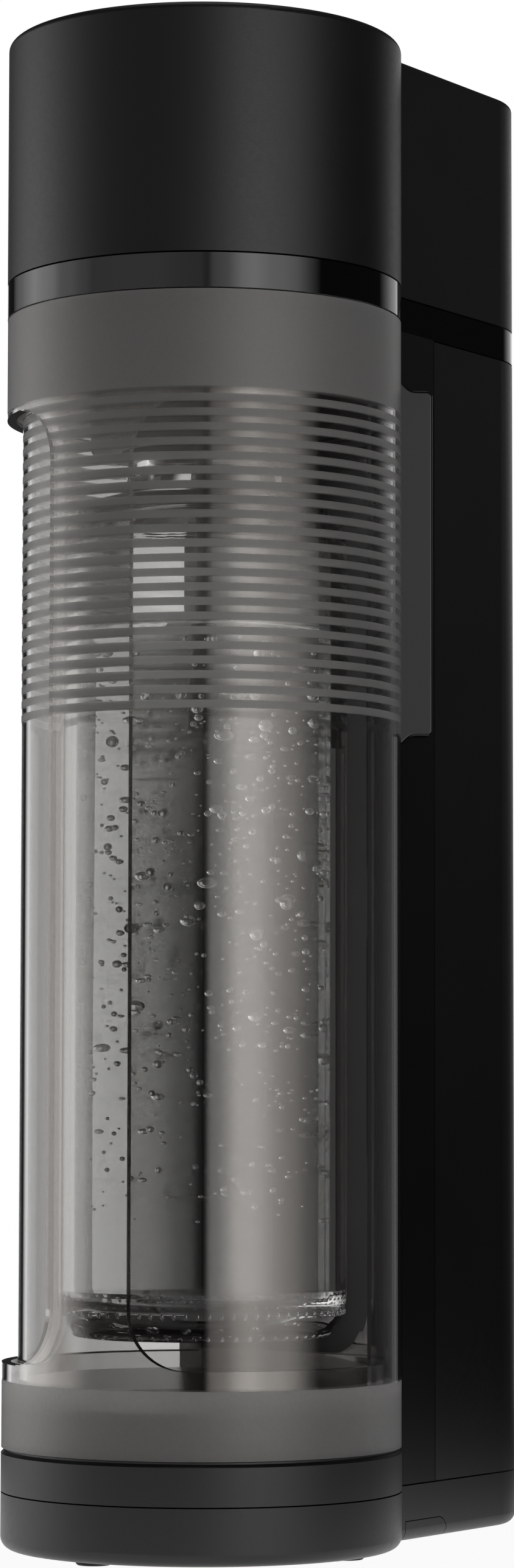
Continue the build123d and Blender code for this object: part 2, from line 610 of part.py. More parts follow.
holder = holder + disc(HOLDER_R, FLANGE_TOP, HOLDER_TOP)
holder = holder - disc(TUBE_R + TUBE_SET, SPIGOT_LOW - 1, TUBE_HIGH)
holder = holder - disc(TUBE_BORE, TUBE_HIGH - 1, PIPE_Z)
holder = holder - lengthways(PIPE_BORE, 2 * HOLDER_R, HOLDER_R, PIPE_Z)
save(holder, "nozzle_holder")
save(tube(NECK_R - SEAL_SET, SPIGOT_R - SEAL_LIP, SEAL_LOW, SPIGOT_LOW), "neck_seal")
save(tube(TUBE_R, TUBE_BORE, TUBE_LOW, TUBE_HIGH), "nozzle_tube")
TIP_WALL = 0.7
TIP_GRIP = 4.0
TIP_DROP = 6.0
TIP_HOLE = 0.6
TIP_EDGE = 1.2
TIP_LOW = TUBE_LOW - TIP_DROP
tip = disc(TUBE_R + TIP_WALL, TIP_LOW, TUBE_LOW + TIP_GRIP)
tip = tip - disc(TUBE_R + TUBE_SET, TUBE_LOW, TUBE_LOW + TIP_GRIP + 1)
tip = tip - disc(TIP_HOLE, TIP_LOW - 1, TUBE_LOW + 1)
tip = chamfer(tip.faces().sort_by(Axis.Z)[0].edges().sort_by(lambda e: e.length)[-1], TIP_EDGE)
save(tip, "nozzle_tip")

# Collar: ring under the chassis that takes the bottle neck.
COLLAR_GAP = 1.6
COLLAR_WALL = 8.8
COLLAR_FLANGE = 6.7
COLLAR_FLANGE_T = 27.6
COLLAR_H = 38.6
COLLAR_EDGE = 0.8
COLLAR_BORE = NECK_R + COLLAR_GAP
COLLAR_R = COLLAR_BORE + COLLAR_WALL
collar = tube(COLLAR_R, COLLAR_BORE, BAND_BOTTOM - COLLAR_H, BAND_BOTTOM)
collar = collar + tube(COLLAR_R + COLLAR_FLANGE, COLLAR_BORE, BAND_BOTTOM - COLLAR_FLANGE_T, BAND_BOTTOM)
collar = chamfer(collar.faces().sort_by(Axis.Z)[0].edges(), COLLAR_EDGE)
save(collar, "bottle_collar")

# Gas pipe from seat to holder with its two nuts.
NUT_T = 7.0
NUT_HEX_R = 5.8
NUT_GAP = 0.2
pipe_to = GAS_Y - SEAT_R
pipe = lengthways(PIPE_R, GAS_Y, GAS_Y / 2, PIPE_Z) - lengthways(PIPE_BORE, GAS_Y + 1, GAS_Y / 2, PIPE_Z)
pipe = pipe - disc(HOLDER_R, FLANGE_TOP, HOLDER_TOP) - disc(SEAT_R, SEAT_STEP, SEAT_TOP, 0, GAS_Y)
save(pipe, "gas_pipe")
nut = extrude(RegularPolygon(NUT_HEX_R, 6), NUT_T)
nut = nut - Pos(0, 0, NUT_T / 2) * Cylinder(PIPE_R + TUBE_SET, NUT_T + 2)
nut_near = Pos(0, HOLDER_R + NUT_T + NUT_GAP, PIPE_Z) * Rot(90, 0, 0) * nut
nut_far = Pos(0, pipe_to - NUT_GAP, PIPE_Z) * Rot(90, 0, 0) * nut
save(Compound([nut_near, nut_far]), "pipe_nuts")

# Lever: long second-class lever from the button to the valve pin.
PIVOT_ARM = 21.0
LEVER_T = 6.0
LEVER_HALF_W = 7.0
LEVER_NOSE = 7.0
LEVER_TAIL = 4.0
LEVER_CORNER_R = 4.0
LEVER_WEB = 2.0
LEVER_RIB = 3.0
LEVER_SLOT_START = 10.0
LEVER_SLOT_END = 13.0
PIVOT_R = 2.0
PIVOT_Y = GAS_Y + PIVOT_ARM
LEVER_LOW = PIN_HEAD_TOP + RUN_GAP
LEVER_HIGH = LEVER_LOW + LEVER_T
pivot_z = (LEVER_LOW + LEVER_HIGH) / 2
lever = block(-LEVER_HALF_W, LEVER_HALF_W, -LEVER_NOSE, PIVOT_Y + LEVER_TAIL, LEVER_LOW, LEVER_HIGH)
lever = fillet(lever.edges().filter_by(Axis.Z), LEVER_CORNER_R)
slot_half = LEVER_HALF_W - LEVER_RIB
lever = lever - block(-slot_half, slot_half, LEVER_SLOT_START, GAS_Y - LEVER_SLOT_END, LEVER_LOW + LEVER_WEB,
                      LEVER_HIGH + 1)
lever = lever - crossbar(PIVOT_R + RUN_GAP, 4 * LEVER_HALF_W, PIVOT_Y, pivot_z)
save(lever, "press_lever")

# Lever bracket and its pivot pin.
EAR_GAP = 1.0
EAR_T = 3.0
EAR_FRONT = 5.0
EAR_RISE = 2.0
BRACKET_GAP = 0.5
PIVOT_END = 1.0
EAR_IN = LEVER_HALF_W + EAR_GAP
EAR_OUT = EAR_IN + EAR_T
BRACKET_FRONT = GAS_Y + SEAT_FLANGE_R + FREE_GAP
BRACKET_BACK = TOWER_BACK - BAND_WALL - BAND_LIP - BRACKET_GAP
bracket = block(-EAR_OUT, EAR_OUT, BRACKET_FRONT, BRACKET_BACK, CHASSIS_TOP, FLANGE_TOP)
ear = block(EAR_IN, EAR_OUT, PIVOT_Y - EAR_FRONT, BRACKET_BACK, FLANGE_TOP - BRACKET_GAP, LEVER_HIGH + EAR_RISE)
ear = ear - block(EAR_IN - 1, EAR_OUT + 1, GAS_Y, BRACKET_FRONT, CHASSIS_TOP, SEAT_STEP + BRACKET_GAP)
for half in mirrored(ear):
    bracket = bracket + half
bracket = bracket - crossbar(PIVOT_R + TUBE_SET, 4 * EAR_OUT, PIVOT_Y, pivot_z)
save(bracket, "lever_bracket")
save(crossbar(PIVOT_R, 2 * (EAR_OUT + PIVOT_END), PIVOT_Y, pivot_z), "lever_pivot_pin")

# Button, its stem, its guide cup and its return spring.
BUTTON_TRAVEL = 8.0
BUTTON_T = 6.2
BUTTON_SKIRT = 4.8
BUTTON_SKIRT_WALL = 2.4
BUTTON_EDGE_R = 1.2
BUTTON_FLOOR_ROOM = 0.6
DISH_R = 120.0
DISH_DEEP = 1.2
STEM_R = 5.0
STEM_EDGE = 3.0
GUIDE_T = 2.6
GUIDE_WALL = 2.5
BUTTON_LOW = TOP_Z - BUTTON_T
SKIRT_LOW = BUTTON_LOW - BUTTON_SKIRT
GUIDE_FLOOR = SKIRT_LOW - BUTTON_TRAVEL - BUTTON_FLOOR_ROOM
GUIDE_LOW = GUIDE_FLOOR - GUIDE_T
GUIDE_R = BUTTON_R + BUTTON_GAP + GUIDE_WALL
button = disc(BUTTON_R, BUTTON_LOW, TOP_Z)
button = button + tube(BUTTON_R, BUTTON_R - BUTTON_SKIRT_WALL, SKIRT_LOW, BUTTON_LOW)
button = fillet(button.faces().sort_by(Axis.Z)[-1].edges(), BUTTON_EDGE_R)
button = button - Pos(0, 0, TOP_Z + DISH_R - DISH_DEEP) * Sphere(DISH_R)
save(button, "top_button")
stem = disc(STEM_R, LEVER_HIGH + RUN_GAP, BUTTON_LOW)
stem = chamfer(stem.faces().sort_by(Axis.Z)[0].edges(), STEM_EDGE)
save(stem, "button_stem")
guide = tube(GUIDE_R, BUTTON_R + BUTTON_GAP, GUIDE_LOW, head_roof)
guide = guide + tube(GUIDE_R - GUIDE_WALL / 2, STEM_R + RUN_GAP, GUIDE_LOW, GUIDE_FLOOR)
save(guide, "button_guide")
SPRING_R = 12.0
SPRING_WIRE = 0.6
SPRING_TURNS = 4
turns_high = BUTTON_LOW - GUIDE_FLOOR - 2 * SPRING_WIRE
coil_path = Helix(turns_high / SPRING_TURNS, turns_high, SPRING_R)
coil_face = Plane(origin=coil_path @ 0, z_dir=coil_path % 0) * Circle(SPRING_WIRE)
spring = Pos(0, 0, GUIDE_FLOOR + SPRING_WIRE) * sweep(coil_face, path=coil_path, is_frenet=True)
save(spring, "button_spring")

# Drip tray on the deck, inside the guard, with its slotted grid.
TRAY_H = 11.5
TRAY_FLOOR = 2.0
TRAY_WALL = 2.2
GRID_T = 2.0
GRID_EDGE = 0.6
GRID_RIM = 10.8
GRID_PITCH = 10.0
GRID_SLOT_W = 4.0
TRAY_TOP = DECK_TOP + TRAY_H
GRID_TOP = TRAY_TOP + GRID_T
tray = disc(TRAY_R, DECK_TOP, TRAY_TOP)
tray = tray - disc(TRAY_R - TRAY_WALL, DECK_TOP + TRAY_FLOOR, TRAY_TOP + 1)
save(tray, "drip_tray")
grid = disc(TRAY_R, TRAY_TOP, GRID_TOP)
grid = chamfer(grid.faces().sort_by(Axis.Z)[-1].edges(), GRID_EDGE)
field_r = TRAY_R - GRID_RIM
rows = int((field_r - GRID_SLOT_W) // GRID_PITCH)
for row in range(-rows, rows + 1):
    length = 2 * sqrt(field_r ** 2 - (GRID_PITCH * row) ** 2)
    slot_plan = Pos(GRID_PITCH * row, 0) * SlotOverall(length, GRID_SLOT_W, rotation=90)
    grid = grid - prism(slot_plan, TRAY_TOP - 1, GRID_TOP + 1)
save(grid, "drip_grid")

# Glass bottle hanging from the collar.
BOTTLE_CLEAR = 18.0
BOTTLE_R = 41.0
BOTTLE_WALL = 4.7
BOTTLE_FOOT_SET = 7.0
BOTTLE_RING_W = 9.0
BOTTLE_RING_H = 2.0
BOTTLE_KICK = 0.5
BOTTLE_HEEL = 12.0
BOTTLE_HEEL_PULL = 6.0
BOTTLE_HEEL_TUCK = 4.0
BOTTLE_HEEL_LIFT = 0.3
BOTTLE_FLOOR = 8.2
BOTTLE_FLOOR_DOME = 0.4
BOTTLE_FLOOR_R = 5.0
BOTTLE_FLOOR_PULL = 2.25
SHOULDER_DROP = 31.7
SHOULDER_H = 14.6
SHOULDER_PULL = 7.0
CROWN_DROP = 8.4
CROWN_W = 6.0
CROWN_PULL = 9.0
CROWN_TILT = 1.1
NECK_PULL = 3.5
NECK_BEND = 5.0
MOUTH_WALL = 6.0
MOUTH_EDGE = 1.0
NECK_RING = 1.0
NECK_RING_HALF_H = 1.2
NECK_RING_DROP = 6.0
BOTTLE_LOW = GRID_TOP + BOTTLE_CLEAR
BOTTLE_TOP = SEAL_LOW - RUN_GAP
BOTTLE_IN = BOTTLE_R - BOTTLE_WALL
FOOT_RING_R = BOTTLE_R - BOTTLE_FOOT_SET
KICK_R = FOOT_RING_R - BOTTLE_RING_W
KICK_IN = KICK_R - 2 * BOTTLE_RING_H
KICK_Z = BOTTLE_LOW + BOTTLE_RING_H
HEEL_Z = BOTTLE_LOW + BOTTLE_HEEL
FLOOR_TOP = BOTTLE_LOW + BOTTLE_FLOOR
FLOOR_R = BOTTLE_IN - BOTTLE_FLOOR_R
FLOOR_EDGE = FLOOR_TOP + BOTTLE_FLOOR_R
SHOULDER_HIGH = BOTTLE_TOP - SHOULDER_DROP
CROWN_Z = SHOULDER_HIGH - CROWN_DROP
CROWN_IN_Z = CROWN_Z - BOTTLE_WALL
CROWN_R = NECK_R + CROWN_W
CROWN_RISE = CROWN_TILT * NECK_PULL / CROWN_PULL
SHOULDER_LOW = CROWN_Z - SHOULDER_H
SHOULDER_IN = SHOULDER_LOW - BOTTLE_WALL / 2
MOUTH_R = NECK_R - MOUTH_WALL
bottle_lines = [
    Line((0, KICK_Z + BOTTLE_KICK), (KICK_IN, KICK_Z)),
    Line((KICK_IN, KICK_Z), (KICK_R, BOTTLE_LOW)),
    Line((KICK_R, BOTTLE_LOW), (FOOT_RING_R, BOTTLE_LOW)),
    Bezier((FOOT_RING_R, BOTTLE_LOW), (BOTTLE_R - BOTTLE_HEEL_TUCK, BOTTLE_LOW + BOTTLE_HEEL_LIFT),
           (BOTTLE_R, BOTTLE_LOW + BOTTLE_HEEL_PULL), (BOTTLE_R, HEEL_Z)),
    Line((BOTTLE_R, HEEL_Z), (BOTTLE_R, SHOULDER_LOW)),
    Bezier((BOTTLE_R, SHOULDER_LOW), (BOTTLE_R, SHOULDER_LOW + SHOULDER_PULL),
           (CROWN_R + CROWN_PULL, CROWN_Z - CROWN_TILT), (CROWN_R, CROWN_Z)),
    Bezier((CROWN_R, CROWN_Z), (CROWN_R - NECK_PULL, CROWN_Z + CROWN_RISE),
           (NECK_R, SHOULDER_HIGH - NECK_BEND), (NECK_R, SHOULDER_HIGH)),
    Line((NECK_R, SHOULDER_HIGH), (NECK_R, BOTTLE_TOP - MOUTH_EDGE)),
    Line((NECK_R, BOTTLE_TOP - MOUTH_EDGE), (NECK_R - MOUTH_EDGE, BOTTLE_TOP)),
    Line((NECK_R - MOUTH_EDGE, BOTTLE_TOP), (MOUTH_R, BOTTLE_TOP)),
    Line((MOUTH_R, BOTTLE_TOP), (MOUTH_R, SHOULDER_HIGH)),
    Bezier((MOUTH_R, SHOULDER_HIGH), (MOUTH_R, SHOULDER_HIGH - NECK_BEND - BOTTLE_WALL),
           (CROWN_R - NECK_PULL, CROWN_IN_Z + CROWN_RISE), (CROWN_R, CROWN_IN_Z)),
    Bezier((CROWN_R, CROWN_IN_Z), (CROWN_R + CROWN_PULL - BOTTLE_WALL, CROWN_IN_Z - CROWN_TILT / 2),
           (BOTTLE_IN, SHOULDER_IN + SHOULDER_PULL), (BOTTLE_IN, SHOULDER_IN)),
    Line((BOTTLE_IN, SHOULDER_IN), (BOTTLE_IN, FLOOR_EDGE)),
    Bezier((BOTTLE_IN, FLOOR_EDGE), (BOTTLE_IN, FLOOR_TOP + BOTTLE_FLOOR_PULL),
           (BOTTLE_IN - BOTTLE_FLOOR_PULL, FLOOR_TOP), (FLOOR_R, FLOOR_TOP)),
    Line((FLOOR_R, FLOOR_TOP), (0, FLOOR_TOP + BOTTLE_FLOOR_DOME)),
    Line((0, FLOOR_TOP + BOTTLE_FLOOR_DOME), (0, KICK_Z + BOTTLE_KICK)),
]
bottle_face = make_face(Wire(bottle_lines))
bottle = revolve(Plane.XZ * bottle_face, Axis.Z)
for ring in (1, 2):
    level = BOTTLE_TOP - ring * NECK_RING_DROP
    ring_low = level - NECK_RING_HALF_H
    bottle = bottle + tube(NECK_R + NECK_RING, NECK_R - NECK_RING, ring_low, level + NECK_RING_HALF_H)
save(bottle, "glass_bottle")
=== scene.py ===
import math
import random

import bpy
from mathutils import Matrix, Vector


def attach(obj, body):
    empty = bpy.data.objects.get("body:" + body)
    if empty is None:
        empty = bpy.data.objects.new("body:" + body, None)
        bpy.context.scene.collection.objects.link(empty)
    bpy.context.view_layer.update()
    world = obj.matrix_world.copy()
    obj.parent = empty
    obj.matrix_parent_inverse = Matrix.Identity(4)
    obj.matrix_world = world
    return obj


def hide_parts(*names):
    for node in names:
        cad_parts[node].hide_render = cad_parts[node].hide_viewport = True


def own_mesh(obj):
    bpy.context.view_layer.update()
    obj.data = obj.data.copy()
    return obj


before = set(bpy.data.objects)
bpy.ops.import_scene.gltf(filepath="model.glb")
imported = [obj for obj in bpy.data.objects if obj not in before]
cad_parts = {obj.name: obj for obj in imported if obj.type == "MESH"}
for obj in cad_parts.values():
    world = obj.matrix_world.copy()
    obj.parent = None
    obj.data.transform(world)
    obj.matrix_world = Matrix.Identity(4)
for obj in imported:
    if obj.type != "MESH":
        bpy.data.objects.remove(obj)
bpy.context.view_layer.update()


# Outer black shells: base pan with its side panels, deck, rear cover, cap, button and bottle collar.
# Injection-moulded ABS with a fine spark-eroded grain, clipped and screwed together.
SHELL_DARK = (0.0018, 0.0018, 0.0018)
SHELL_LIGHT = (0.0028, 0.0028, 0.0027)
SHELL_CLOUDS = 45
TONE_ENDS = (0.3, 0.7)


def fresh_finish(name):
    # A new finish with its nodes, its shader and the piece's own coordinates.
    finish = bpy.data.materials.new(name)
    finish.use_nodes = True
    tree = finish.node_tree
    place = tree.nodes.new("ShaderNodeTexCoord").outputs["Object"]
    return finish, tree, tree.nodes["Principled BSDF"], place


def speckle(tree, place, clouds, detail=2):
    # Cloudy variation, with so many clouds along a metre of the piece.
    noise = tree.nodes.new("ShaderNodeTexNoise")
    noise.inputs["Scale"].default_value = clouds
    noise.inputs["Detail"].default_value = detail
    tree.links.new(place, noise.inputs["Vector"])
    return noise.outputs["Fac"]


def two_tone(tree, factor, dark, light, target):
    # Colour that drifts between two close shades.
    ramp = tree.nodes.new("ShaderNodeValToRGB")
    for mark, end, shade in zip(ramp.color_ramp.elements, TONE_ENDS, (dark, light)):
        mark.position = end
        mark.color = (*shade, 1)
    tree.links.new(factor, ramp.inputs["Fac"])
    tree.links.new(ramp.outputs["Color"], target)


def slope(tree, value, near, far, first, last, kind="LINEAR"):
    # A level that goes from the first number at near to the last at far and stays there.
    climb = tree.nodes.new("ShaderNodeMapRange")
    climb.interpolation_type = kind
    for name, number in (("From Min", near), ("From Max", far), ("To Min", first), ("To Max", last)):
        climb.inputs[name].default_value = number
    tree.links.new(value, climb.inputs["Value"])
    return climb.outputs["Result"]


def spread(tree, factor, low, high, target):
    # Number that drifts between two limits.
    tree.links.new(slope(tree, factor, 0, 1, low, high), target)


def raised(tree, shader, factor, strength, depth):
    # Fine relief on the surface.
    relief = tree.nodes.new("ShaderNodeBump")
    relief.inputs["Strength"].default_value = strength
    relief.inputs["Distance"].default_value = depth
    tree.links.new(factor, relief.inputs["Height"])
    tree.links.new(relief.outputs["Normal"], shader.inputs["Normal"])


def moulded(name, dark, light, clouds, rough, rough_clouds, grain=None):
    # Plastic or rubber whose shade and dullness drift a little over the piece. Clouds and grain
    # start with their count along a metre and their detail; grain ends with its strength and depth.
    finish, tree, shader, place = fresh_finish(name)
    two_tone(tree, speckle(tree, place, *clouds), dark, light, shader.inputs["Base Color"])
    spread(tree, speckle(tree, place, *rough_clouds), *rough, shader.inputs["Roughness"])
    if grain:
        marks, detail, strength, depth = grain
        raised(tree, shader, speckle(tree, place, marks, detail), strength, depth)
    return finish


def dress(finish, *nodes):
    # Gives the finish to whole solids of the frame.
    for node in nodes:
        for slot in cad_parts[node].material_slots:
            slot.material = finish


grained_black = moulded("grained_black", dark=SHELL_DARK, light=SHELL_LIGHT, clouds=(SHELL_CLOUDS, 2),
                        rough=(0.36, 0.46), rough_clouds=(700, 3), grain=(2600, 2, 0.14, 0.00012))
dress(grained_black, "base_pan", "base_side_panels", "base_deck", "rear_cover", "head_housing",
      "top_button", "bottle_collar")


# Inner black mouldings: chassis plate, button guide and stem, lever bracket.
# Plain smooth ABS inside the head, with faint flow marks, screwed to the chassis or sliding in it.
plain_black = moulded("plain_black", dark=(0.016, 0.016, 0.016), light=(0.026, 0.026, 0.026),
                      clouds=(30, 2), rough=(0.34, 0.46), rough_clouds=(160, 2))
dress(plain_black, "head_chassis", "button_guide", "button_stem", "lever_bracket")


# Drip tray and grid: the smooth dark floor of the chamber, laid loose on the deck.
# Polished black plastic that mirrors the light coming in from the side.
tray_black = moulded("tray_black", dark=(0.012, 0.012, 0.012), light=(0.02, 0.02, 0.02),
                     clouds=(25, 2), rough=(0.12, 0.2), rough_clouds=(120, 2))
dress(tray_black, "drip_tray", "drip_grid")


# Feet, seals and cradle: soft black rubber, pressed into their seats.
# Dull, slightly dusty surface.
soft_rubber = moulded("soft_rubber", dark=(0.01, 0.01, 0.01), light=(0.022, 0.021, 0.02),
                      clouds=(300, 4), rough=(0.7, 0.85), rough_clouds=(500, 2), grain=(1500, 2, 0.2, 0.0001))
dress(soft_rubber, "rubber_feet", "neck_seal", "valve_gasket", "cylinder_cradle")


# Band between sleeve and cap: one moulded ring round chamber and tower.
# Polished to a piano gloss, with the faint ripple of moulded plastic.
piano_black = moulded("piano_black", dark=(0.0010, 0.0010, 0.0010), light=(0.0016, 0.0016, 0.0016),
                      clouds=(20, 2), rough=(0.02, 0.05), rough_clouds=(90, 2), grain=(35, 1, 0.02, 0.0004))
dress(piano_black, "gloss_band")


# Tower front: the frame that the chamber leans against, with a round hollow for the sleeve.
# Moulded of the shells' ABS, a little smoother in the hollow behind the bottle than on its sides.
AXIS_Y = -0.03375
HOLLOW_EDGE = 0.0585
HOLLOW_ROUGH = 0.34
SIDE_ROUGH = 0.41


def reckon(tree, kind, *terms):
    # One sum; each term is a socket or a fixed number.
    step = tree.nodes.new("ShaderNodeMath")
    step.operation = kind
    for number, term in enumerate(terms):
        if isinstance(term, (int, float)):
            step.inputs[number].default_value = term
        else:
            tree.links.new(term, step.inputs[number])
    return step.outputs["Value"]


spine_black, tree, shader, place = fresh_finish("spine_black")
two_tone(tree, speckle(tree, place, SHELL_CLOUDS), SHELL_DARK, SHELL_LIGHT, shader.inputs["Base Color"])
centred = tree.nodes.new("ShaderNodeMapping")
centred.inputs["Location"].default_value = (0, -AXIS_Y, 0)
centred.inputs["Scale"].default_value = (1, 1, 0)
tree.links.new(place, centred.inputs["Vector"])
reach = tree.nodes.new("ShaderNodeVectorMath")
reach.operation = "LENGTH"
tree.links.new(centred.outputs["Vector"], reach.inputs[0])
spread(tree, reckon(tree, "GREATER_THAN", reach.outputs["Value"], HOLLOW_EDGE), HOLLOW_ROUGH, SIDE_ROUGH,
       shader.inputs["Roughness"])
shader.inputs["Specular IOR Level"].default_value = 0.3
dress(spine_black, "tower_spine")


# Fixed guard and turning sleeve: two clear smoky tubes, each open on one half.
# Injection-moulded copolyester; bands and stripes are blasted dull from outside.
# The guard stands in the deck, and the sleeve turns round it on the glide rings.
BAND_UP = 0.3222
BAND_LOW = 0.0484
STRIPE_TOP = 0.3202
STRIPE_END = 0.2337
STRIPE_PITCH = 0.00402
STRIPE_SHARE = 0.51
STRIPE_REAR = AXIS_Y + 0.022
RIM_EDGES = (0.3205, 0.0535)
RIM_REACH = 0.00015
RIM_SIDE = -0.03
# The next colour is a painted dark line along the rims' cut edges.
PAINTED_EDGE_BLACK = (0.003, 0.003, 0.003, 1)
# The next two set painted light on the lower blasted band: where it starts and ends below the band's top, and
# how much it brightens the grey.
PAINTED_GLOW_DEPTHS = (0.008, 0.002)
PAINTED_GLOW_LIFTS = (0.28, 0.55)
DULL_GREY = (0.47, 0.465, 0.458)
DULL_SPREAD = 1.08
DULL_ROUGH = 0.42
DULL_PASSING = 0.82
DULL_GRAIN = 0.00012
WARM_SHEEN = (1.0, 0.94, 0.885, 1.0)


def axes_of(tree, place):
    # The three coordinates of a place, by name.
    split = tree.nodes.new("ShaderNodeSeparateXYZ")
    tree.links.new(place, split.inputs["Vector"])
    return split.outputs


def blasted_zone(tree, place, whole):
    # 1 on the blasted bands and stripes, 0 on the clear wall.
    axes = axes_of(tree, place)
    height = axes["Z"]
    pitches = reckon(tree, "DIVIDE", reckon(tree, "SUBTRACT", STRIPE_TOP, height), STRIPE_PITCH)
    zone = reckon(tree, "LESS_THAN", reckon(tree, "FRACT", pitches), STRIPE_SHARE)
    zone = reckon(tree, "MULTIPLY", zone, reckon(tree, "LESS_THAN", height, STRIPE_TOP))
    zone = reckon(tree, "MULTIPLY", zone, reckon(tree, "GREATER_THAN", height, STRIPE_END))
    if not whole:
        zone = reckon(tree, "MULTIPLY", zone, reckon(tree, "LESS_THAN", axes["Y"], STRIPE_REAR))
    zone = reckon(tree, "MAXIMUM", zone, reckon(tree, "GREATER_THAN", height, BAND_UP))
    if whole:
        zone = reckon(tree, "MAXIMUM", zone, reckon(tree, "LESS_THAN", height, BAND_LOW))
    return zone


def painted_edge_line(tree, place):
    # Painted shade: 1 on the cut edges of the sleeve's rims above and below its open side, where a dark line
    # is painted.
    axes = axes_of(tree, place)
    upper, lower = [reckon(tree, "COMPARE", axes["Z"], level, RIM_REACH) for level in RIM_EDGES]
    return reckon(tree, "MULTIPLY", reckon(tree, "MAXIMUM", upper, lower),
                  reckon(tree, "LESS_THAN", axes["X"], RIM_SIDE))


def painted_lower_glow(tree, place):
    # Painted light: 1 on the upper bands and stripes, and more on the lower band, rising towards its top, for
    # light coming through it from the chamber and the floor.
    height = axes_of(tree, place)["Z"]
    start, end = [BAND_LOW - depth for depth in PAINTED_GLOW_DEPTHS]
    return reckon(tree, "MULTIPLY_ADD", reckon(tree, "LESS_THAN", height, BAND_LOW),
                  slope(tree, height, start, end, *PAINTED_GLOW_LIFTS), 1.0)


def mix_of(tree, kind, factor):
    # A mix of two colours or of two numbers: its first input, its second and its result.
    first, second, result = {"RGBA": (6, 7, 2), "FLOAT": (2, 3, 0)}[kind]
    mix = tree.nodes.new("ShaderNodeMix")
    mix.data_type = kind
    tree.links.new(factor, mix.inputs["Factor"])
    return mix.inputs[first], mix.inputs[second], mix.outputs[result]


def smoky(name, dark, light, whole):
    # Clear smoky plastic that turns dull and greyer in the blasted zone, with painted light brightening the
    # lower band towards its top, and a painted dark line along its cut edge.
    finish, tree, shader, place = fresh_finish(name)
    zone = blasted_zone(tree, place, whole)
    clear, dull, tone = mix_of(tree, "RGBA", zone)
    two_tone(tree, speckle(tree, place, 14), dark, light, clear)
    # The blasted grey, brightened by painted light on the lower band.
    dull_with_painted_glow = tree.nodes.new("ShaderNodeVectorMath")
    dull_with_painted_glow.operation = "SCALE"
    two_tone(tree, speckle(tree, place, 900), DULL_GREY, [DULL_SPREAD * part for part in DULL_GREY],
             dull_with_painted_glow.inputs[0])
    tree.links.new(painted_lower_glow(tree, place), dull_with_painted_glow.inputs["Scale"])
    tree.links.new(dull_with_painted_glow.outputs["Vector"], dull)
    # The rims' cut edges get a painted dark line in place of the clear colour.
    painted_edge = painted_edge_line(tree, place)
    wall, painted_edge_colour, colour = mix_of(tree, "RGBA", painted_edge)
    tree.links.new(tone, wall)
    painted_edge_colour.default_value = PAINTED_EDGE_BLACK
    tree.links.new(colour, shader.inputs["Base Color"])
    tree.links.new(reckon(tree, "MAXIMUM", reckon(tree, "MULTIPLY", zone, DULL_ROUGH), painted_edge),
                   shader.inputs["Roughness"])
    spread(tree, zone, 1.0, DULL_PASSING, shader.inputs["Transmission Weight"])
    raised(tree, shader, reckon(tree, "MULTIPLY", speckle(tree, place, 1800), zone), 0.12, DULL_GRAIN)
    shader.inputs["IOR"].default_value = 1.5
    shader.inputs["Specular Tint"].default_value = WARM_SHEEN
    return finish


dress(smoky("smoky_sleeve", (0.735, 0.727, 0.718), (0.755, 0.747, 0.738), whole=True), "door_sleeve")
dress(smoky("smoky_guard", (0.68, 0.675, 0.67), (0.70, 0.695, 0.69), whole=False), "inner_guard")


# Pull bar: a solid bar of the same smoky plastic bonded to the sleeve.
# Thicker, so it looks brown-grey and nearly dark.
smoky_bar = moulded("smoky_bar", dark=(0.007, 0.0064, 0.0057), light=(0.0095, 0.0087, 0.0078),
                    clouds=(40, 2), rough=(0.10, 0.16), rough_clouds=(200, 2))
shader = smoky_bar.node_tree.nodes["Principled BSDF"]
shader.inputs["Transmission Weight"].default_value = 0.2
shader.inputs["IOR"].default_value = 1.5
shader.inputs["Specular IOR Level"].default_value = 0.17
dress(smoky_bar, "door_handle")


# Bottle: thick-walled blown glass with a heavy heel, hanging from the collar.
# Slightly grey, with the faint waviness of blown glass.
def see_through(name, dark, light, clouds, bending, passing=1.0):
    # Clear, perfectly smooth stuff that bends light.
    finish, tree, shader, place = fresh_finish(name)
    two_tone(tree, speckle(tree, place, clouds), dark, light, shader.inputs["Base Color"])
    shader.inputs["Roughness"].default_value = 0.0
    shader.inputs["Transmission Weight"].default_value = passing
    shader.inputs["IOR"].default_value = bending
    return finish, tree, shader, place


clear_glass, tree, shader, place = see_through("clear_glass", dark=(0.91, 0.915, 0.91),
                                               light=(0.94, 0.945, 0.94), clouds=12, bending=1.5)
raised(tree, shader, speckle(tree, place, 9, 1), 0.01, 0.0008)
dress(clear_glass, "glass_bottle")


# Grip ribs on the bottle's heel: two rings of short pressed glass ridges.
# Part of the bottle's glass, so they share its finish.
def heel_ribs(name, radius, height, size, count):
    # One ridge at the front, copied round the bottle.
    bpy.ops.object.select_all(action="DESELECT")
    bpy.ops.mesh.primitive_uv_sphere_add(segments=10, ring_count=6, radius=1,
                                         location=(0, AXIS_Y - radius, height), scale=size)
    ribs = bpy.context.object
    ribs.name = name
    bpy.ops.object.transform_apply(location=True, rotation=True, scale=True)
    bpy.ops.object.mode_set(mode="EDIT")
    bpy.ops.mesh.select_all(action="SELECT")
    bpy.ops.mesh.spin(steps=count - 1, dupli=True, angle=2 * math.pi * (count - 1) / count,
                      center=(0, AXIS_Y, 0), axis=(0, 0, 1))
    bpy.ops.mesh.select_all(action="SELECT")
    bpy.ops.mesh.normals_make_consistent(inside=False)
    bpy.ops.object.mode_set(mode="OBJECT")
    bpy.ops.object.shade_smooth()
    ribs.data.materials.append(clear_glass)
    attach(ribs, "bottle")


